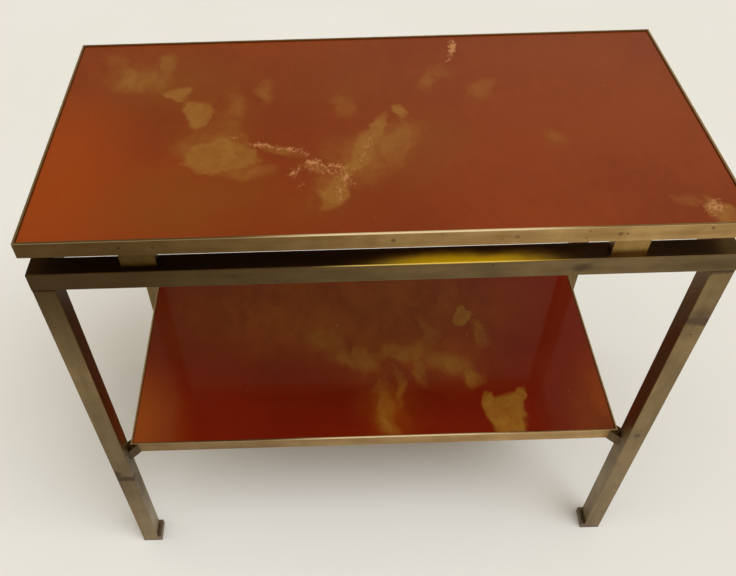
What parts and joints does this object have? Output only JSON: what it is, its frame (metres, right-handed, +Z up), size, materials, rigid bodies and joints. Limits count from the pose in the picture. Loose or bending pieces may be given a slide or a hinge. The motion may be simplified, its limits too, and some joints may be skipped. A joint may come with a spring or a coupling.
{
  "type": "two-tier side table",
  "caption": "Rectangular two-tier side table: red and gold lacquered top and shelf in brass edging, on a frame and legs of square brass tube, with the top raised on spacers.",
  "frame": {"origin": "on the floor under the middle of the table", "axes": "+X along the table's width to the right, +Y from the front to the back, +Z up"},
  "size_m": [0.6, 0.3, 0.55],
  "materials": {
    "lacquer": "high-gloss red-brown lacquer clouded with gold",
    "core_board": "bare, sealed board",
    "brass": "aged satin brass with uneven tarnish",
    "tarnished_brass": "dark tarnished brass",
    "screw_steel": "dull zinc-plated steel"
  },
  "bodies": {
    "root": {"top_facing": "lacquer", "top_board": "core_board", "top_edge_front": "brass", "top_edge_back": "brass", "top_edge_left": "brass", "top_edge_right": "brass", "top_edge_pins": "tarnished_brass", "top_screws": "screw_steel", "spacer_front_left": "brass", "spacer_front_right": "brass", "spacer_back_left": "brass", "spacer_back_right": "brass", "rail_front": "brass", "rail_back": "brass", "rail_left": "brass", "rail_right": "brass", "leg_front_left": "brass", "leg_front_right": "brass", "leg_back_left": "brass", "leg_back_right": "brass", "foot_front_left": "tarnished_brass", "foot_front_right": "tarnished_brass", "foot_back_left": "tarnished_brass", "foot_back_right": "tarnished_brass", "shelf_facing": "lacquer", "shelf_board": "core_board", "shelf_edge_front": "brass", "shelf_edge_back": "brass", "shelf_edge_left": "brass", "shelf_edge_right": "brass", "bracket_front_left": "tarnished_brass", "bracket_front_right": "tarnished_brass", "bracket_back_left": "tarnished_brass", "bracket_back_right": "tarnished_brass", "shelf_screws": "screw_steel"}
  },
  "joints": []
}
